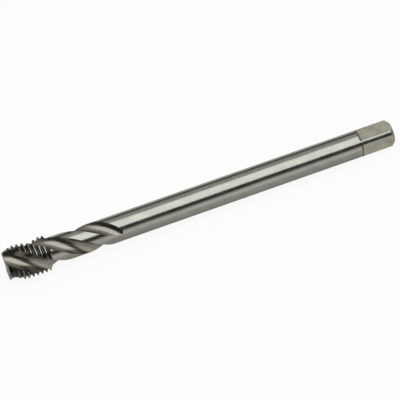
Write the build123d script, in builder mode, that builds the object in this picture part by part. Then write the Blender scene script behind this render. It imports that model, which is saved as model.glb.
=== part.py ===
# Machine tap with spiral flutes for the metric fine thread M8 x 1, after DIN 374.
# Ground from one bar: threaded head, fluted neck, plain shank and driving square.
# The axis lies along X with the tip toward -X and the end of the square at x = 0.
# The flats of the square face +Y, -Y, +Z and -Z. All sizes are in millimetres.
from build123d import *
from math import asin, atan2, ceil, cos, degrees, radians, sin, sqrt, tan
import os

os.makedirs("parts", exist_ok=True)

# ---- driving dimensions -------------------------------------------------------
overall_length = 90.0

thread_diameter = 8.0
thread_pitch = 1.0
thread_length = 9.8
thread_start_angle = 63.2
flank_angle = 60.0
lead_threads = 2.0
lead_relief = 0.2
point_diameter = 6.7
neck_diameter = 6.12

shank_diameter = 6.0
square_across_flats = 4.9
square_length = 8.0
square_root_radius = 0.3
end_chamfer = 0.7

flute_count = 3
flute_lead = 31.0
flute_length = 26.0
flute_run_out = 6.5
flute_width_angle = 78.0
flute_start_angle = 92.6
core_diameter = 3.4
hook_angle = 10.0
flute_bottom_radius = 2.6

centre_pilot_diameter = 1.0
centre_rim_diameter = 2.12
centre_pilot_depth = 1.9
centre_angle = 60.0

# ---- sizes that follow ----------------------------------------------------------
tip_x = -overall_length
head_radius = thread_diameter / 2
shank_radius = shank_diameter / 2
point_radius = point_diameter / 2
neck_radius = neck_diameter / 2
core_radius = core_diameter / 2
groove_depth = 0.6134 * thread_pitch
groove_bottom_width = thread_pitch / 6
root_radius = head_radius - groove_depth
lead_length = lead_threads * thread_pitch
head_end_x = tip_x + thread_length
flute_end_x = tip_x + flute_length
half_flats = square_across_flats / 2


# ---- one flute --------------------------------------------------------------------
# Cross-section of the flute square to the axis. Local x points out through the
# middle of the bottom arc. The cutting face lies on the +y side and leans under
# its land by the hook angle, the open heel of the next land lies on the -y side.
hook_offset = head_radius * sin(radians(hook_angle))
arc_centre = core_radius + flute_bottom_radius
face_slope = asin((flute_bottom_radius - hook_offset) / arc_centre)
cutting_edge_angle = degrees(face_slope) + hook_angle
heel_edge_angle = cutting_edge_angle - flute_width_angle
edge_x = head_radius * cos(radians(cutting_edge_angle))
edge_y = head_radius * sin(radians(cutting_edge_angle))
heel_x = head_radius * cos(radians(heel_edge_angle))
heel_y = head_radius * sin(radians(heel_edge_angle))
heel_reach = sqrt((arc_centre - heel_x) ** 2 + heel_y ** 2)
heel_slope = atan2(-heel_y, arc_centre - heel_x) + asin(flute_bottom_radius / heel_reach)
overrun = 0.45 * head_radius


def flute_section(station, turn, lift):
    """Flute section at one station of the axis, turned round it and lifted away from it."""
    out_dir = (0, cos(radians(turn)), sin(radians(turn)))
    foot = (station, lift * out_dir[1], lift * out_dir[2])
    face_foot_x = arc_centre - flute_bottom_radius * sin(face_slope)
    face_foot_y = flute_bottom_radius * cos(face_slope)
    heel_foot_x = arc_centre - flute_bottom_radius * sin(heel_slope)
    heel_foot_y = flute_bottom_radius * cos(heel_slope)
    face_top_x = edge_x + overrun * cos(face_slope)
    face_top_y = edge_y + overrun * sin(face_slope)
    heel_top_x = heel_x - overrun * cos(heel_slope)
    heel_top_y = heel_y - overrun * sin(heel_slope)
    outer_x = face_top_x + 0.3 * head_radius
    with BuildSketch(Plane(origin=foot, x_dir=out_dir, z_dir=(1, 0, 0))) as section:
        with BuildLine():
            Line((face_top_x, face_top_y), (face_foot_x, face_foot_y))
            ThreePointArc(
                (face_foot_x, face_foot_y),
                (core_radius, 0),
                (heel_foot_x, heel_foot_y),
            )
            Line((heel_foot_x, heel_foot_y), (heel_top_x, heel_top_y))
            Line((heel_top_x, heel_top_y), (outer_x, heel_top_y))
            Line((outer_x, heel_top_y), (face_top_x, face_top_y))
        make_face()
    return section.sketch


# The section is carried along the axis and turns once in each lead. At the end of
# the flute it is lifted out along an arc, as the grinding wheel leaves the work.
flute_depth = shank_radius - core_radius
exit_lift = 1.25 * flute_depth
wheel_radius = flute_run_out ** 2 / (2 * flute_depth)
exit_length = sqrt(2 * wheel_radius * exit_lift)
flute_begin_x = tip_x - thread_pitch
full_depth_x = flute_end_x - flute_run_out
full_turn = 360 * (full_depth_x - flute_begin_x) / flute_lead
exit_turn = 360 * exit_length / flute_lead
full_steps = ceil(full_turn / 14)
exit_steps = ceil(exit_turn / 9)
full_step_length = (full_depth_x - flute_begin_x) / full_steps
exit_step_length = exit_length / exit_steps

with BuildPart() as flute:
    flute_sections = []
    for step in range(full_steps):
        station = flute_begin_x + full_step_length * step
        turn = flute_start_angle + 360 * (station - tip_x) / flute_lead
        flute_sections.append(flute_section(station, turn, 0))
    for step in range(exit_steps + 1):
        travel = exit_step_length * step
        station = full_depth_x + travel
        turn = flute_start_angle + 360 * (station - tip_x) / flute_lead
        lift = travel ** 2 / (2 * wheel_radius)
        flute_sections.append(flute_section(station, turn, lift))
    loft(sections=flute_sections)


# ---- one arc of the thread groove ---------------------------------------------------
# The flutes leave the groove biting only where it crosses a land. One such bite is
# swept along its right-hand helix. It starts on the +Z side and is long enough to
# run off both edges of a land into the flutes.
land_angle = 360 / flute_count - flute_width_angle
groove_arc_angle = land_angle + 0.55 * flute_width_angle
groove_arc_travel = thread_pitch * groove_arc_angle / 360
groove_top_radius = head_radius + 0.06 * thread_pitch
groove_half_bottom = groove_bottom_width / 2
flank_run = (groove_top_radius - root_radius) * tan(radians(flank_angle / 2))
groove_half_top = groove_half_bottom + flank_run

with BuildPart() as groove_bite:
    with BuildLine() as groove_path:
        Helix(
            pitch=thread_pitch,
            height=groove_arc_travel,
            radius=head_radius,
            direction=(1, 0, 0),
        )
    with BuildSketch(Plane.XZ) as groove_section:
        with BuildLine():
            Polyline(
                (-groove_half_top, groove_top_radius),
                (-groove_half_bottom, root_radius),
                (groove_half_bottom, root_radius),
                (groove_half_top, groove_top_radius),
                close=True,
            )
        make_face()
    sweep(sections=groove_section.sketch, path=groove_path.line, is_frenet=True)

# The groove winds many times faster than the lands twist, so along any one land the
# bites follow each other at slightly more than the pitch.
land_middle_angle = flute_start_angle + cutting_edge_angle + land_angle / 2
bite_spacing = 1 / (1 / thread_pitch - 1 / flute_lead)
bite_places = []
for land in range(flute_count):
    land_turn = land_middle_angle + 360 * land / flute_count
    first_bite = -ceil(land_turn / 360) - 2
    last_bite = ceil((thread_length + thread_pitch) / bite_spacing) + 2
    for bite in range(first_bite, last_bite):
        travel = bite_spacing * ((land_turn - thread_start_angle) / 360 + bite)
        if -0.9 * thread_pitch < travel < thread_length + 0.8 * thread_pitch:
            bite_x = tip_x + travel - groove_arc_travel / 2
            bite_turn = land_turn + 360 * travel / flute_lead - groove_arc_angle / 2 - 90
            bite_places.append(Location((bite_x, 0, 0), (bite_turn, 0, 0)))


# ---- the lead of one land -------------------------------------------------------------
# The first threads are ground away to a cone so that the tap enters its hole. Behind
# each cutting edge the cone falls off toward the heel, and it twists with the land.
# The section is what the wheel takes off one land, with the land's middle on local x.
lead_slope = (head_radius - point_radius) / lead_length
lead_overlap = 0.25 * flute_width_angle
lead_outer_radius = 1.5 * head_radius


def lead_section(station):
    """What is ground off one land at one station of the axis."""
    turn = land_middle_angle + 360 * (station - tip_x) / flute_lead
    out_dir = (0, cos(radians(turn)), sin(radians(turn)))
    edge_radius = point_radius + lead_slope * (station - tip_x)
    relief_rate = lead_relief / land_angle
    reach = land_angle / 2 + lead_overlap
    front_radius = edge_radius + relief_rate * lead_overlap
    middle_radius = edge_radius - lead_relief / 2
    back_radius = edge_radius - lead_relief - relief_rate * lead_overlap
    across = cos(radians(reach))
    aside = sin(radians(reach))
    with BuildSketch(Plane(origin=(station, 0, 0), x_dir=out_dir, z_dir=(1, 0, 0))) as section:
        with BuildLine():
            ThreePointArc(
                (front_radius * across, -front_radius * aside),
                (middle_radius, 0),
                (back_radius * across, back_radius * aside),
            )
            Line(
                (back_radius * across, back_radius * aside),
                (lead_outer_radius * across, lead_outer_radius * aside),
            )
            ThreePointArc(
                (lead_outer_radius * across, lead_outer_radius * aside),
                (lead_outer_radius, 0),
                (lead_outer_radius * across, -lead_outer_radius * aside),
            )
            Line(
                (lead_outer_radius * across, -lead_outer_radius * aside),
                (front_radius * across, -front_radius * aside),
            )
        make_face()
    return section.sketch


lead_begin_x = tip_x - thread_pitch / 2
lead_run = lead_length + 1.5 * lead_relief / lead_slope + thread_pitch / 2
lead_steps = ceil(360 * lead_run / flute_lead / 10)

with BuildPart() as lead_cut:
    lead_sections = []
    for step in range(lead_steps + 1):
        lead_sections.append(lead_section(lead_begin_x + lead_run * step / lead_steps))
    loft(sections=lead_sections)


# ---- one flat of the driving square -------------------------------------------------
# The wheel that grinds the flats leaves a small radius at the shoulder of the shank.
with BuildPart() as flat_cut:
    with BuildSketch(Plane.XZ):
        with BuildLine():
            Polyline(
                (-square_length, half_flats + square_root_radius),
                (-square_length, shank_diameter),
                (square_length, shank_diameter),
                (square_length, half_flats),
                (-square_length + square_root_radius, half_flats),
            )
            RadiusArc(
                (-square_length + square_root_radius, half_flats),
                (-square_length, half_flats + square_root_radius),
                square_root_radius,
            )
        make_face()
    extrude(amount=shank_diameter, both=True)


# ---- the tap ------------------------------------------------------------------------
with BuildPart() as tap:
    # Turned blank: thread diameter, back face of the head leaning as a thread flank
    # does, neck tapering into the shank near the end of the flutes, shank and end
    # chamfer. It is drawn as a half profile and turned round X.
    back_face_run = (head_radius - neck_radius) * tan(radians(flank_angle / 2))
    shank_begin_x = flute_end_x - flute_run_out / 3
    with BuildSketch(Plane.XY):
        with BuildLine():
            Polyline(
                (tip_x, 0),
                (tip_x, head_radius),
                (head_end_x - back_face_run, head_radius),
                (head_end_x, neck_radius),
                (shank_begin_x, shank_radius),
                (-end_chamfer, shank_radius),
                (0, shank_radius - end_chamfer),
                (0, 0),
                close=True,
            )
        make_face()
    revolve(axis=Axis.X)

    # Flutes
    for index in range(flute_count):
        add(flute.part, rotation=(360 * index / flute_count, 0, 0), mode=Mode.SUBTRACT)

    # Lead
    for index in range(flute_count):
        add(lead_cut.part, rotation=(360 * index / flute_count, 0, 0), mode=Mode.SUBTRACT)

    # Thread
    with Locations(bite_places):
        add(groove_bite.part, mode=Mode.SUBTRACT)

    # Driving square
    for index in range(4):
        add(flat_cut.part, rotation=(90 * index, 0, 0), mode=Mode.SUBTRACT)

    # Centre hole in the end of the square
    pilot_radius = centre_pilot_diameter / 2
    rim_radius = centre_rim_diameter / 2
    rim_depth = (rim_radius - pilot_radius) / tan(radians(centre_angle / 2))
    point_depth = centre_pilot_depth + pilot_radius * tan(radians(31))
    with BuildSketch(Plane.XY):
        with BuildLine():
            Polyline(
                (0, 0),
                (0, rim_radius),
                (-rim_depth, pilot_radius),
                (-centre_pilot_depth, pilot_radius),
                (-point_depth, 0),
                close=True,
            )
        make_face()
    revolve(axis=Axis.X, mode=Mode.SUBTRACT)

tap.part.label = "tap"
export_step(tap.part, "parts/tap.step")
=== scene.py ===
import math

import bmesh
import bpy
from mathutils import Matrix, Vector


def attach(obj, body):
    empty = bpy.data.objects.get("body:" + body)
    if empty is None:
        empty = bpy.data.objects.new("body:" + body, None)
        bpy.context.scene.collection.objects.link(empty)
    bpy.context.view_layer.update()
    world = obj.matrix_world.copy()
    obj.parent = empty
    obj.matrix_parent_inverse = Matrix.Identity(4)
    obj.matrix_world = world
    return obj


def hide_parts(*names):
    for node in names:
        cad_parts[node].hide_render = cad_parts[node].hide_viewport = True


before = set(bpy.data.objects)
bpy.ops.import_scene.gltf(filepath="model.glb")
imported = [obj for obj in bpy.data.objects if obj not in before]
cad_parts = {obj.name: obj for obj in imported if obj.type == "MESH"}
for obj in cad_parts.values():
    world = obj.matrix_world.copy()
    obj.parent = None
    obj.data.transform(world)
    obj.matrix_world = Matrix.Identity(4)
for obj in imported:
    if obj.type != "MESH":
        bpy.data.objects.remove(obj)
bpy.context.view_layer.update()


# ---- sizes of the tap, in millimetres and degrees, as in the CAD model -----------------
LENGTH = 90.0
HEAD_R = 4.0
PITCH = 1.0
THREAD_LENGTH = 9.8
THREAD_START = 63.2
FLANK_SLOPE = 30.0          # half the flank angle
LEAD = 2.0
LEAD_RELIEF = 0.2
POINT_R = 3.35
NECK_R = 3.06
SHANK_R = 3.0
HALF_FLATS = 2.45
SQUARE_LENGTH = 8.0
SQUARE_ROOT = 0.3
END_CHAMFER = 0.7
CENTRE_RIM = 1.06
CENTRE_PILOT = 0.5
CENTRE_SLOPE = 30.0         # half the centre hole's cone angle
PILOT_DEPTH = 1.9
CENTRE_DEPTH = 2.2
FLUTES = 3
FLUTE_LEAD = 31.0
FLUTE_LENGTH = 26.0
RUN_OUT = 6.5
FLUTE_WIDTH = 78.0
FLUTE_START = 92.6
CORE_R = 1.7
HOOK = 10.0
BOTTOM_R = 2.6

TIP = -LENGTH
ROOT_R = HEAD_R - 0.6134 * PITCH
FLUTE_END = TIP + FLUTE_LENGTH
HEAD_END = TIP + THREAD_LENGTH
LAND = 360 / FLUTES - FLUTE_WIDTH


def rad(degrees):
    return math.radians(degrees)


# ---- camera ----------------------------------------------------------------------------
CAMERA_YAW = 10.0           # the tip comes this much toward the camera, in degrees
CAMERA_HEIGHT = 48.8        # the camera's height round the axis of the tap, in degrees
AXIS_SLOPE = 19.32          # the axis rises this much to the right in the frame, in degrees
CAMERA_DISTANCE = 0.6
PX_PER_M = 4595.0
FRAME_PX = 400.0
SENSOR = 36.0
TARGET_X = -0.04535
TARGET_DROP = 0.0002


def make_camera():
    yaw, height, slope = rad(CAMERA_YAW), rad(CAMERA_HEIGHT), rad(AXIS_SLOPE)
    to_cam = Vector((-math.sin(yaw), -math.cos(yaw) * math.cos(height), math.cos(yaw) * math.sin(height)))
    along = Vector((math.cos(yaw), -math.sin(yaw) * math.cos(height), math.sin(yaw) * math.sin(height)))
    over = Vector((0, math.sin(height), math.cos(height)))
    right = math.cos(slope) * along - math.sin(slope) * over
    up = math.sin(slope) * along + math.cos(slope) * over
    place = Vector((TARGET_X, 0, 0)) - TARGET_DROP * over + CAMERA_DISTANCE * to_cam
    data = bpy.data.cameras.new("camera")
    data.sensor_width = SENSOR
    data.lens = PX_PER_M * CAMERA_DISTANCE * SENSOR / FRAME_PX
    data.clip_start = 0.01
    data.clip_end = 20.0
    camera = bpy.data.objects.new("camera", data)
    bpy.context.scene.collection.objects.link(camera)
    camera.matrix_world = Matrix((
        (right.x, up.x, to_cam.x, place.x),
        (right.y, up.y, to_cam.y, place.y),
        (right.z, up.z, to_cam.z, place.z),
        (0, 0, 0, 1),
    ))
    bpy.context.scene.camera = camera


make_camera()


# ---- shader nodes ----------------------------------------------------------------------
MIX_A = 6                   # the colour sockets of a Mix node
MIX_B = 7
MIX_OUT = 2


def node(tree, kind, **values):
    made = tree.nodes.new(kind)
    for key, value in values.items():
        setattr(made, key, value)
    return made


def feed(tree, socket, source):
    """Link a socket to another node's output, or set it to a number or a colour."""
    if isinstance(source, bpy.types.NodeSocket):
        tree.links.new(source, socket)
    else:
        socket.default_value = source


def math_node(tree, operation, *sources):
    made = node(tree, "ShaderNodeMath", operation=operation)
    for index, source in enumerate(sources):
        feed(tree, made.inputs[index], source)
    return made.outputs[0]


def ranged(tree, value, low, high, to_low=0.0, to_high=1.0, curve="LINEAR"):
    made = node(tree, "ShaderNodeMapRange", interpolation_type=curve)
    feed(tree, made.inputs["Value"], value)
    feed(tree, made.inputs["From Min"], low)
    feed(tree, made.inputs["From Max"], high)
    feed(tree, made.inputs["To Min"], to_low)
    feed(tree, made.inputs["To Max"], to_high)
    return made.outputs[0]


def noise_node(tree, place, scale, detail, rough):
    made = node(tree, "ShaderNodeTexNoise")
    feed(tree, made.inputs["Vector"], place)
    feed(tree, made.inputs["Scale"], scale)
    feed(tree, made.inputs["Detail"], detail)
    feed(tree, made.inputs["Roughness"], rough)
    return made.outputs["Fac"]


def scaled(tree, place, factors):
    made = node(tree, "ShaderNodeVectorMath", operation="MULTIPLY")
    feed(tree, made.inputs[0], place)
    feed(tree, made.inputs[1], factors)
    return made.outputs[0]


def combined(tree, *parts):
    made = node(tree, "ShaderNodeCombineXYZ")
    for index, part in enumerate(parts):
        feed(tree, made.inputs[index], part)
    return made.outputs[0]


def separated(tree, vector):
    made = node(tree, "ShaderNodeSeparateXYZ")
    feed(tree, made.inputs[0], vector)
    return tuple(made.outputs)


def mixed_color(tree, share, first, second, blend="MIX"):
    made = node(tree, "ShaderNodeMix", data_type="RGBA", blend_type=blend)
    feed(tree, made.inputs[0], share)
    feed(tree, made.inputs[MIX_A], first)
    feed(tree, made.inputs[MIX_B], second)
    return made.outputs[MIX_OUT]


def mixed_shader(tree, share, first, second):
    made = node(tree, "ShaderNodeMixShader")
    feed(tree, made.inputs[0], share)
    feed(tree, made.inputs[1], first)
    feed(tree, made.inputs[2], second)
    return made.outputs[0]


def ramp_node(tree, value, stops):
    """A colour ramp with (place, colour) stops."""
    made = node(tree, "ShaderNodeValToRGB")
    elements = made.color_ramp.elements
    while len(elements) > 1:
        elements.remove(elements[-1])
    elements[0].position, elements[0].color = stops[0]
    for place, color in stops[1:]:
        elements.new(place).color = color
    feed(tree, made.inputs[0], value)
    return made.outputs["Color"]


def opaque(color, factor=1.0):
    """An RGBA colour from an RGB one, made lighter or darker."""
    return (*(min(1.0, part * factor) for part in color), 1)


# ---- materials -------------------------------------------------------------------------
MM_PER_M = 1000
ROUND_GRAIN = (11.0, 0.35, 0.35)        # noise scales per mm, along X, Y and Z
ACROSS_GRAIN = (4.5, 0.6, 0.6)
HELIX_GRAIN = (9, 9, 14)                # on the cosine and sine of the place across a flute, and the radius
BLOTCHES = (0.35, 0.9, 0.9)
NOISE_BODY = (0.3, 0.7)                 # most of a noise lies between these
EDGE_MASK_WIDTH = 0.00006
EDGE_MASK_LEAN = (0.995, 0.9)                # cosines between the rounded and the own normal: face, edge
# painted highlight on sharp edges, partly edges rubbed bright by use
GLINT_AND_WEAR_LIGHTER = 1.7
WORN_SMOOTHER = 0.08
LINE_DARKER = 0.72
LINE_SHARE = 0.35
# painted shade: the colour that darkens the thread's groove towards its root
ROOT_SHADE_COLOR = (0.07, 0.066, 0.056)
ROOT_DARK = (ROOT_R + 0.03, HEAD_R - 0.1)       # radii where the painted shade in the groove is full and gone
SHOULDER_LINE = (0.34, 0.6)             # from the shoulder, where its line of painted shade is full and gone
# painted shade: the colour of the dark line beside the square's shoulder
SHOULDER_SHADE = (0.05, 0.05, 0.04)
SHOULDER_SHARE = 0.85
PIT_SHARE = 0.25


def sharp_edge_mask(tree):
    """1 on sharp edges, 0 on faces: how far a rounded normal leans away from the face's own."""
    soft = node(tree, "ShaderNodeBevel", samples=6)
    feed(tree, soft.inputs["Radius"], EDGE_MASK_WIDTH)
    own = node(tree, "ShaderNodeNewGeometry")
    dot = node(tree, "ShaderNodeVectorMath", operation="DOT_PRODUCT")
    feed(tree, dot.inputs[0], soft.outputs[0])
    feed(tree, dot.inputs[1], own.outputs["Normal"])
    return ranged(tree, dot.outputs["Value"], *EDGE_MASK_LEAN)


def make_steel(name, color, rough, grain, grain_depth, stain=0.12, root_shade_color=None, glint_and_wear_share=0.7):
    """Ground tool steel.

    grain is the direction of the grinding lines: "round" the axis, "helix" along the flutes
    or "across" the flats of the square. grain_depth is in millimetres.
    """
    mat = bpy.data.materials.new(name)
    mat.use_nodes = True
    tree = mat.node_tree
    bsdf = tree.nodes["Principled BSDF"]
    feed(tree, bsdf.inputs["Metallic"], 1.0)
    coord = node(tree, "ShaderNodeTexCoord")
    place = scaled(tree, coord.outputs["Object"], (MM_PER_M, MM_PER_M, MM_PER_M))
    x, y, z = separated(tree, place)
    square_sum = math_node(tree, "ADD", math_node(tree, "MULTIPLY", y, y), math_node(tree, "MULTIPLY", z, z))
    radius = math_node(tree, "SQRT", square_sum)
    if grain == "helix":
        # unwound: constant along the flute, so the lines follow it
        turn = math_node(tree, "ARCTAN2", z, y)
        unwound = math_node(tree, "MULTIPLY_ADD", x, -2 * math.pi / FLUTE_LEAD, turn)
        ring = combined(tree, math_node(tree, "COSINE", unwound), math_node(tree, "SINE", unwound), radius)
        lines_at = scaled(tree, ring, HELIX_GRAIN)
    else:
        lines_at = scaled(tree, place, ACROSS_GRAIN if grain == "across" else ROUND_GRAIN)
    lines = noise_node(tree, lines_at, 1.0, 4.0, 0.65)
    blotch = noise_node(tree, scaled(tree, place, BLOTCHES), 1.0, 3.0, 0.55)
    pits = noise_node(tree, place, 9.0, 2.0, 0.5)
    edge_mask = sharp_edge_mask(tree)

    # colour: stains, grinding lines, painted shade in the roots of the thread and beside the square's
    # shoulder, and a painted highlight on sharp edges, which use has also rubbed bright
    stains = ranged(tree, blotch, *NOISE_BODY)
    tone = mixed_color(tree, stains, opaque(color, 1 - stain), opaque(color, 1 + stain))
    dark_lines = ranged(tree, lines, 0.35, 0.75, 0.0, LINE_SHARE)
    tone = mixed_color(tree, dark_lines, tone, opaque(color, LINE_DARKER))
    # painted shade: the thread's groove gets darker towards its root
    if root_shade_color is not None:
        tone = mixed_color(tree, ranged(tree, radius, *ROOT_DARK, 1.0, 0.0), tone, opaque(root_shade_color))
    # painted shade: a dark line on the flats next to the square's shoulder
    if grain == "across":
        full, gone = (edge - SQUARE_LENGTH for edge in SHOULDER_LINE)
        shoulder_shade = ranged(tree, x, full, gone, SHOULDER_SHARE, 0.0)
        tone = mixed_color(tree, shoulder_shade, tone, opaque(SHOULDER_SHADE))
    # painted highlight: sharp edges are made lighter, partly as edges rubbed bright by use
    glint_and_wear = math_node(tree, "MULTIPLY", edge_mask, glint_and_wear_share)
    tone = mixed_color(tree, glint_and_wear, tone, opaque(color, GLINT_AND_WEAR_LIGHTER))
    feed(tree, bsdf.inputs["Base Color"], tone)

    # roughness follows the stains and the lines, and rubbed edges are smoother
    level = ranged(tree, blotch, *NOISE_BODY, rough * 0.85, rough * 1.2)
    level = math_node(tree, "ADD", level, ranged(tree, lines, *NOISE_BODY, -0.03, 0.04))
    level = math_node(tree, "MULTIPLY_ADD", edge_mask, -WORN_SMOOTHER, level)
    feed(tree, bsdf.inputs["Roughness"], level)

    bump = node(tree, "ShaderNodeBump")
    feed(tree, bump.inputs["Strength"], 1.0)
    feed(tree, bump.inputs["Distance"], grain_depth / MM_PER_M)
    feed(tree, bump.inputs["Height"], math_node(tree, "MULTIPLY_ADD", pits, PIT_SHARE, lines))
    feed(tree, bsdf.inputs["Normal"], bump.outputs[0])
    return mat


steel_shank = make_steel("steel_shank", (0.36, 0.36, 0.325), 0.18, "round", 0.0006)
steel_flute = make_steel("steel_flute", (0.285, 0.277, 0.24), 0.25, "helix", 0.0012)
steel_thread = make_steel("steel_thread", (0.27, 0.26, 0.23), 0.3, "round", 0.001, root_shade_color=ROOT_SHADE_COLOR)
steel_square = make_steel("steel_square", (0.5, 0.5, 0.4), 0.42, "across", 0.003, stain=0.2, glint_and_wear_share=0.2)


# ---- mesh tools ------------------------------------------------------------------------
def mesh_object(name, verts, faces, material):
    mesh = bpy.data.meshes.new(name)
    mesh.from_pydata(verts, [], faces)
    work = bmesh.new()
    work.from_mesh(mesh)
    bmesh.ops.recalc_face_normals(work, faces=work.faces)
    if work.calc_volume(signed=True) < 0:
        bmesh.ops.reverse_faces(work, faces=work.faces)
    work.to_mesh(mesh)
    work.free()
    mesh.materials.append(material)
    made = bpy.data.objects.new(name, mesh)
    bpy.context.scene.collection.objects.link(made)
    return made


def lathe(name, profile, segments, material):
    """A closed body turned round X from (x, r) points that start and end on the axis."""
    verts, faces, rings = [], [], []
    for x, r in profile:
        if r == 0:
            rings.append([len(verts)])
            verts.append((x, 0, 0))
        else:
            rings.append([len(verts) + index for index in range(segments)])
            verts += [(x, py, pz) for py, pz in arc((0, 0), r, 0, 2 * math.pi, segments)[:-1]]
    for first, second in zip(rings, rings[1:]):
        for index in range(segments):
            after = (index + 1) % segments
            if len(first) == 1:
                faces.append((first[0], second[index], second[after]))
            elif len(second) == 1:
                faces.append((first[index], second[0], first[after]))
            else:
                faces.append((first[index], second[index], second[after], first[after]))
    return mesh_object(name, verts, faces, material)


def loft(name, rings, material):
    """A closed body through rings of points, all with the same count, and capped."""
    count = len(rings[0])
    verts = [point for ring in rings for point in ring]
    faces = [tuple(range(count))[::-1]]
    for level in range(len(rings) - 1):
        base = level * count
        for index in range(count):
            after = (index + 1) % count
            faces.append((base + index, base + after, base + count + after, base + count + index))
    faces.append(tuple(range((len(rings) - 1) * count, len(rings) * count)))
    return mesh_object(name, verts, faces, material)


def subtract(body, cutters):
    """Cut the cutters out of the body. The new faces take the cutters' materials."""
    for cutter in cutters:
        step = body.modifiers.new("cut", "BOOLEAN")
        step.operation = "DIFFERENCE"
        step.solver = "MANIFOLD"
        step.object = cutter
        step.material_mode = "TRANSFER"
    graph = bpy.context.evaluated_depsgraph_get()
    made = bpy.data.meshes.new_from_object(body.evaluated_get(graph), depsgraph=graph)
    body.modifiers.clear()
    old = body.data
    body.data = made
    bpy.data.meshes.remove(old)
    for cutter in cutters:
        data = cutter.data
        bpy.data.objects.remove(cutter)
        bpy.data.meshes.remove(data)


def line(first, last, count):
    """Points on a straight line, with first left out and last kept."""
    (ax, ay), (bx, by) = first, last
    parts = [step / count for step in range(1, count + 1)]
    return [(ax + (bx - ax) * part, ay + (by - ay) * part) for part in parts]


def arc(centre, radius, first, last, count):
    """Points on an arc from the angle first to the angle last, both kept."""
    turns = [first + (last - first) * step / count for step in range(count + 1)]
    return [(centre[0] + radius * math.cos(turn), centre[1] + radius * math.sin(turn)) for turn in turns]


def turned(x, section, turn):
    """A section drawn across X, placed at x and turned round X."""
    ca, sa = math.cos(turn), math.sin(turn)
    return [(x, u * ca - v * sa, u * sa + v * ca) for u, v in section]


# ---- cutters ---------------------------------------------------------------------------
TOP_STEPS = 8               # points on a flute's cutting face, its bottom and its heel
BOTTOM_STEPS = 22
HEEL_STEPS = 12
TWIST_STEPS = 90            # sections along a flute, up to its run-out, and along the run-out
EXIT_STEPS = 48
LEAD_STEPS = 24
LEAD_ARC_STEPS = 32
GROOVE_STEPS = 120          # sections a turn
ROOT_STEPS = 8
LATHE_STEPS = 20            # rings along the head and along the neck
SHANK_STEPS = 40
SHANK_SEGMENTS = 240
CENTRE_SEGMENTS = 96
CLEAR = 6.0                 # the square's cutters reach this far, past the shank
# the groove's bottom corner, rounded: steps outward from the sharp corner, along and up
ROOT_CORNER = [(0.03, 0.052), (-0.01, 0.012), (-0.035, 0.0)]
GROOVE_LEAD_IN = 1.5        # turns of the groove before the tip
GROOVE_EXTRA = 3.0          # turns more than the head is long


def flute_turn(x, index):
    """How far the flutes have turned at x, in degrees."""
    return 360 * (x - TIP) / FLUTE_LEAD + 360 * index / FLUTES


def face_slope():
    """The lean of the cutting face against the middle of the flute's bottom arc."""
    return math.asin((BOTTOM_R - HEAD_R * math.sin(rad(HOOK))) / (CORE_R + BOTTOM_R))


def flute_outline():
    """The flute's section, local x out through the middle of its bottom arc."""
    centre = CORE_R + BOTTOM_R
    slope = face_slope()
    edge = slope + rad(HOOK)
    heel = edge - rad(FLUTE_WIDTH)
    heel_x, heel_y = HEAD_R * math.cos(heel), HEAD_R * math.sin(heel)
    reach = math.hypot(centre - heel_x, heel_y)
    heel_slope = math.atan2(-heel_y, centre - heel_x) + math.asin(BOTTOM_R / reach)
    # both straight walls run on this far past the head
    over = 0.45 * HEAD_R
    top = (HEAD_R * math.cos(edge) + over * math.cos(slope), HEAD_R * math.sin(edge) + over * math.sin(slope))
    end = (heel_x - over * math.cos(heel_slope), heel_y - over * math.sin(heel_slope))
    bottom = arc((centre, 0), BOTTOM_R, rad(90) + slope, rad(90) + heel_slope, BOTTOM_STEPS)
    cutting_face = [top] + line(top, bottom[0], TOP_STEPS)[:-1]
    outer_corner = (top[0] + 0.3 * HEAD_R, end[1])
    return cutting_face + bottom + line(bottom[-1], end, HEEL_STEPS) + [outer_corner]


def flute_cutter(index):
    depth = SHANK_R - CORE_R
    full = FLUTE_END - RUN_OUT
    wheel = RUN_OUT ** 2 / (2 * depth)
    # the wheel is followed until it is a quarter of the depth clear of the shank
    exit_length = math.sqrt(2 * wheel * 1.25 * depth)
    begin = TIP - 1.0
    stations = [begin + (full - begin) * step / TWIST_STEPS for step in range(TWIST_STEPS)]
    stations += [full + exit_length * step / EXIT_STEPS for step in range(EXIT_STEPS + 1)]
    outline = flute_outline()
    rings = []
    for x in stations:
        lift = max(0.0, x - full) ** 2 / (2 * wheel)
        rings.append(turned(x, [(u + lift, v) for u, v in outline], rad(FLUTE_START + flute_turn(x, index))))
    return loft("flute_%d" % index, rings, steel_flute)


def circle_through(p, q, r):
    """The centre and the radius of the circle through three points."""
    ax, ay, bx, by, cx, cy = *p, *q, *r
    a2, b2, c2 = ax * ax + ay * ay, bx * bx + by * by, cx * cx + cy * cy
    d = 2 * (ax * (by - cy) + bx * (cy - ay) + cx * (ay - by))
    ux = (a2 * (by - cy) + b2 * (cy - ay) + c2 * (ay - by)) / d
    uy = (a2 * (cx - bx) + b2 * (ax - cx) + c2 * (bx - ax)) / d
    return ux, uy, math.hypot(ax - ux, ay - uy)


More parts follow.
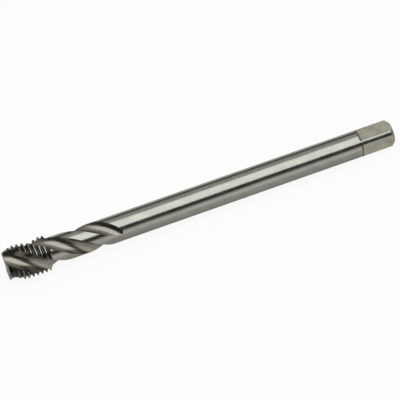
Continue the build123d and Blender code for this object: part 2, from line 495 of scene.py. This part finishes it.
def lead_cutter(index):
    """What the tapered lead leaves of one land, cut away: lower behind the edge than at it."""
    slope = (HEAD_R - POINT_R) / LEAD
    overlap = 0.25 * FLUTE_WIDTH
    reach = rad(LAND / 2 + overlap)
    rate = LEAD_RELIEF / LAND
    begin = TIP - 0.5 * PITCH
    run = LEAD + 1.5 * LEAD_RELIEF / slope + 0.5 * PITCH
    land_middle = FLUTE_START + math.degrees(face_slope()) + HOOK + LAND / 2
    outer = arc((0, 0), 1.5 * HEAD_R, reach, -reach, LEAD_ARC_STEPS)
    rings = []
    for step in range(LEAD_STEPS + 1):
        x = begin + run * step / LEAD_STEPS
        edge = POINT_R + slope * (x - TIP)
        front = edge + rate * overlap
        middle = edge - LEAD_RELIEF / 2
        back = edge - LEAD_RELIEF - rate * overlap
        p = (front * math.cos(reach), -front * math.sin(reach))
        r = (back * math.cos(reach), back * math.sin(reach))
        ux, uy, size = circle_through(p, (middle, 0), r)
        first, last = math.atan2(p[1] - uy, p[0] - ux), math.atan2(r[1] - uy, r[0] - ux)
        section = arc((ux, uy), size, first, last, LEAD_ARC_STEPS) + outer
        rings.append(turned(x, section, rad(land_middle + flute_turn(x, index))))
    return loft("lead_%d" % index, rings, steel_thread)


def groove_cutter():
    """The whole thread groove: a V with a rounded bottom, wound along X."""
    top = HEAD_R + 0.06 * PITCH
    half_bottom = PITCH / 12
    half_top = half_bottom + (top - ROOT_R) * math.tan(rad(FLANK_SLOPE))
    begin = TIP - GROOVE_LEAD_IN * PITCH
    start_turn = 2 * math.pi * GROOVE_LEAD_IN + rad(THREAD_START)
    section = [(-half_top, top)]
    section += [(-half_bottom - out, ROOT_R + rise) for out, rise in ROOT_CORNER]
    section += [(half_bottom + out, ROOT_R + rise) for out, rise in reversed(ROOT_CORNER)]
    section += [(half_top, top)]
    rings = []
    for step in range(int((THREAD_LENGTH + GROOVE_EXTRA) * GROOVE_STEPS) + 1):
        x = begin + PITCH * step / GROOVE_STEPS
        turn = 2 * math.pi * step / GROOVE_STEPS + start_turn
        rings.append([(x + along, r * math.cos(turn), r * math.sin(turn)) for along, r in section])
    return loft("thread_groove", rings, steel_thread)


def flat_cutter(index):
    """What one flat of the square leaves of the shank, cut away, with a rounded root."""
    root = (-SQUARE_LENGTH + SQUARE_ROOT, HALF_FLATS + SQUARE_ROOT)
    profile = arc(root, SQUARE_ROOT, rad(270), rad(180), ROOT_STEPS)
    profile += [(-SQUARE_LENGTH, CLEAR), (CLEAR, CLEAR), (CLEAR, HALF_FLATS)]
    turn = rad(90 * index)
    ca, sa = math.cos(turn), math.sin(turn)
    rings = [[(x, y * ca - z * sa, y * sa + z * ca) for x, z in profile] for y in (-CLEAR, CLEAR)]
    return loft("flat_%d" % index, rings, steel_square)


def centre_cutter():
    slope = math.tan(rad(CENTRE_SLOPE))
    cone = (CENTRE_RIM - CENTRE_PILOT) / slope
    mouth = 0.5
    profile = [
        (mouth, 0), (mouth, CENTRE_RIM + mouth * slope), (-cone, CENTRE_PILOT),
        (-PILOT_DEPTH, CENTRE_PILOT), (-CENTRE_DEPTH, 0),
    ]
    return lathe("centre_hole", profile, CENTRE_SEGMENTS, steel_square)


# ---- the tap ---------------------------------------------------------------------------
M_PER_MM = 0.001
MERGE = 1e-4
CREASE = 25                 # edges sharper than this many degrees stay sharp


def make_blank():
    """The turned tap before any cut: head, back face, widening neck, shank and end chamfer."""
    head_back = HEAD_END - (HEAD_R - NECK_R) * math.tan(rad(FLANK_SLOPE))
    shank_begin = FLUTE_END - RUN_OUT / 3
    profile = [(TIP, 0), (TIP, HEAD_R)]
    profile += line((TIP, HEAD_R), (head_back, HEAD_R), LATHE_STEPS)
    profile += [(HEAD_END, NECK_R)]
    profile += line((HEAD_END, NECK_R), (shank_begin, SHANK_R), LATHE_STEPS)
    profile += line((shank_begin, SHANK_R), (-END_CHAMFER, SHANK_R), SHANK_STEPS)
    profile += [(0, SHANK_R - END_CHAMFER), (0, 0)]
    return lathe("tap_ground", profile, SHANK_SEGMENTS, steel_shank)


def make_tap():
    body = make_blank()
    subtract(body, [flute_cutter(index) for index in range(FLUTES)])
    subtract(body, [lead_cutter(index) for index in range(FLUTES)])
    subtract(body, [flat_cutter(index) for index in range(4)] + [centre_cutter()])
    subtract(body, [groove_cutter()])
    work = bmesh.new()
    work.from_mesh(body.data)
    bmesh.ops.remove_doubles(work, verts=work.verts, dist=MERGE)
    bmesh.ops.dissolve_degenerate(work, edges=work.edges, dist=MERGE)
    bmesh.ops.scale(work, vec=(M_PER_MM, M_PER_MM, M_PER_MM), verts=work.verts)
    work.edges.index_update()
    parted = [edge.index for edge in work.edges if len({face.material_index for face in edge.link_faces}) > 1]
    work.to_mesh(body.data)
    work.free()
    body.data.shade_smooth()
    body.data.set_sharp_from_angle(angle=rad(CREASE))
    # a cut always ends in a crisp line, also where the wheel leaves the shank at a flat angle
    for index in parted:
        body.data.edges[index].use_edge_sharp = True
    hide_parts("tap")
    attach(body, "root")


make_tap()


# ---- studio ----------------------------------------------------------------------------
PAPER_WHITE = 0.92          # the share of plain white in what the camera sees of the paper
PAPER_HALF = 1.5
PAPER_AT = (-0.008, 0, -0.00302)
# the tap lies on its head and on the end of its shank: the head is 1 mm larger in radius, 72 mm away
REST_TILT = math.atan2(1.0, 72.0)


def make_paper():
    """White paper that keeps the shadow. The steel sees through it, to the room below."""
    mat = bpy.data.materials.new("floor_paper")
    mat.use_nodes = True
    tree = mat.node_tree
    bsdf = tree.nodes["Principled BSDF"]
    feed(tree, bsdf.inputs["Base Color"], (0.9, 0.9, 0.9, 1))
    feed(tree, bsdf.inputs["Roughness"], 0.9)
    feed(tree, bsdf.inputs["Specular IOR Level"], 0.1)
    white = node(tree, "ShaderNodeEmission")
    feed(tree, white.inputs["Strength"], 1.0)
    path = node(tree, "ShaderNodeLightPath")
    seen = math_node(tree, "MULTIPLY", path.outputs["Is Camera Ray"], PAPER_WHITE)
    bounced = math_node(tree, "MAXIMUM", path.outputs["Is Glossy Ray"], path.outputs["Is Transmission Ray"])
    clear = node(tree, "ShaderNodeBsdfTransparent")
    sheet = mixed_shader(tree, seen, bsdf.outputs[0], white.outputs[0])
    sheet = mixed_shader(tree, bounced, sheet, clear.outputs[0])
    feed(tree, tree.nodes["Material Output"].inputs["Surface"], sheet)
    return mat


def make_floor():
    mesh = bpy.data.meshes.new("floor")
    corners = [(-1, -1), (1, -1), (1, 1), (-1, 1)]
    mesh.from_pydata([(PAPER_HALF * x, PAPER_HALF * y, 0) for x, y in corners], [], [(0, 1, 2, 3)])
    mesh.materials.append(make_paper())
    floor = bpy.data.objects.new("floor", mesh)
    bpy.context.scene.collection.objects.link(floor)
    floor.rotation_euler = (0, -REST_TILT, 0)
    floor.location = PAPER_AT


make_floor()

# The room is stated by the angle round X, in degrees from the front horizon, up over the top,
# and by the side: -1 the tip's, 1 the square's. It is then turned round X by STUDIO_TURN.
STUDIO_TURN = 3.8
# the dark gap between the table and the soft box: side, lower edge and upper edge
GAP = [
    (-1.0, -70, 130), (-0.8, -60, 100), (-0.6, -40, 66), (-0.45, -25, 54), (-0.3, -22, 46),
    (-0.15, -18, 38), (0.0, -8, 40), (0.12, 9, 45), (0.2, 13, 46), (0.3, 10, 47), (0.45, 14, 45),
    (0.6, 20, 46), (0.75, 20, 66), (1.0, 10, 80),
]
GAP_LEVEL = 0.04
LOW_BLUR = 14               # how soft the gap's edges are, in degrees
HIGH_BLUR = 5
# the room's level by angle
ROOM = [
    (-180, 1.0), (-172, 0.7), (-158, 0.3), (-110, 0.3), (-80, 0.48), (-47, 0.6), (-36, 0.62),
    (-25, 0.74), (-14, 0.95), (0, 1.0), (40, 0.8), (46, 0.35), (100, 0.35), (110, 0.6),
    (137, 0.55), (148, 0.13), (168, 0.13), (175, 0.7), (180, 1.0),
]
# the room's tint by side
SIDES = [
    (-1.0, (0.5, 0.5, 0.5)), (-0.3, (1.0, 1.0, 1.0)), (0.3, (1.05, 1.03, 1.0)),
    (0.6, (1.2, 1.17, 1.1)), (1.0, (1.2, 1.17, 1.1)),
]


def angle_place(angle):
    """The place on a ramp of an angle round X."""
    return (angle + 180) / 360


def side_place(side):
    return (side + 1) / 2


def past_edge(tree, height, edge, blur):
    """0 below an edge and 1 above it, with a soft change between."""
    low = math_node(tree, "SUBTRACT", edge, blur / 360)
    high = math_node(tree, "ADD", edge, blur / 360)
    return ranged(tree, height, low, high, curve="SMOOTHSTEP")


def make_world():
    world = bpy.data.worlds.new("studio")
    bpy.context.scene.world = world
    world.use_nodes = True
    tree = world.node_tree
    tree.nodes.clear()
    coord = node(tree, "ShaderNodeTexCoord")
    x, y, z = separated(tree, coord.outputs["Generated"])
    front = math_node(tree, "MULTIPLY", y, -1.0)
    turn = math_node(tree, "ARCTAN2", z, front)
    height = math_node(tree, "MULTIPLY_ADD", turn, 0.5 / math.pi, 0.5 - STUDIO_TURN / 360)
    height = math_node(tree, "FRACT", height)
    side = math_node(tree, "MULTIPLY_ADD", x, 0.5, 0.5)
    gap_edges = [(side_place(at), (angle_place(low), angle_place(high), 0, 1)) for at, low, high in GAP]
    parts = node(tree, "ShaderNodeSeparateColor")
    feed(tree, parts.inputs[0], ramp_node(tree, side, gap_edges))
    past_low = past_edge(tree, height, parts.outputs["Red"], LOW_BLUR)
    past_high = past_edge(tree, height, parts.outputs["Green"], HIGH_BLUR)
    gap = math_node(tree, "SUBTRACT", past_low, past_high)
    room = ramp_node(tree, height, [(angle_place(angle), opaque((level,) * 3)) for angle, level in ROOM])
    tint = ramp_node(tree, side, [(side_place(at), (*color, 1)) for at, color in SIDES])
    tinted = mixed_color(tree, 1.0, room, tint, blend="MULTIPLY")
    seen = mixed_color(tree, gap, tinted, opaque((GAP_LEVEL,) * 3))
    back = node(tree, "ShaderNodeBackground")
    feed(tree, back.inputs["Color"], seen)
    out = node(tree, "ShaderNodeOutputWorld")
    feed(tree, out.inputs["Surface"], back.outputs[0])


make_world()

SOFTBOX_LEVEL = 1.5
SOFTBOX_ANGLE = 75          # round X from the front horizon, before STUDIO_TURN
SOFTBOX_HALF_ANGLE = 29     # how far it reaches each way round X
SOFTBOX_REACH = 0.5
SOFTBOX_LENGTH = 0.75
SOFTBOX_X = -0.06


def make_softbox():
    data = bpy.data.lights.new("softbox", "AREA")
    data.shape = "RECTANGLE"
    data.size = SOFTBOX_LENGTH
    data.size_y = 2 * SOFTBOX_REACH * math.tan(rad(SOFTBOX_HALF_ANGLE))
    data.energy = SOFTBOX_LEVEL * math.pi * data.size * data.size_y
    tilt = rad(SOFTBOX_ANGLE + STUDIO_TURN - 90)
    lamp = bpy.data.objects.new("softbox", data)
    lamp.location = (SOFTBOX_X, SOFTBOX_REACH * math.sin(tilt), SOFTBOX_REACH * math.cos(tilt))
    lamp.rotation_euler = (-tilt, 0, 0)
    bpy.context.scene.collection.objects.link(lamp)


make_softbox()

bpy.context.scene.view_settings.view_transform = "Standard"
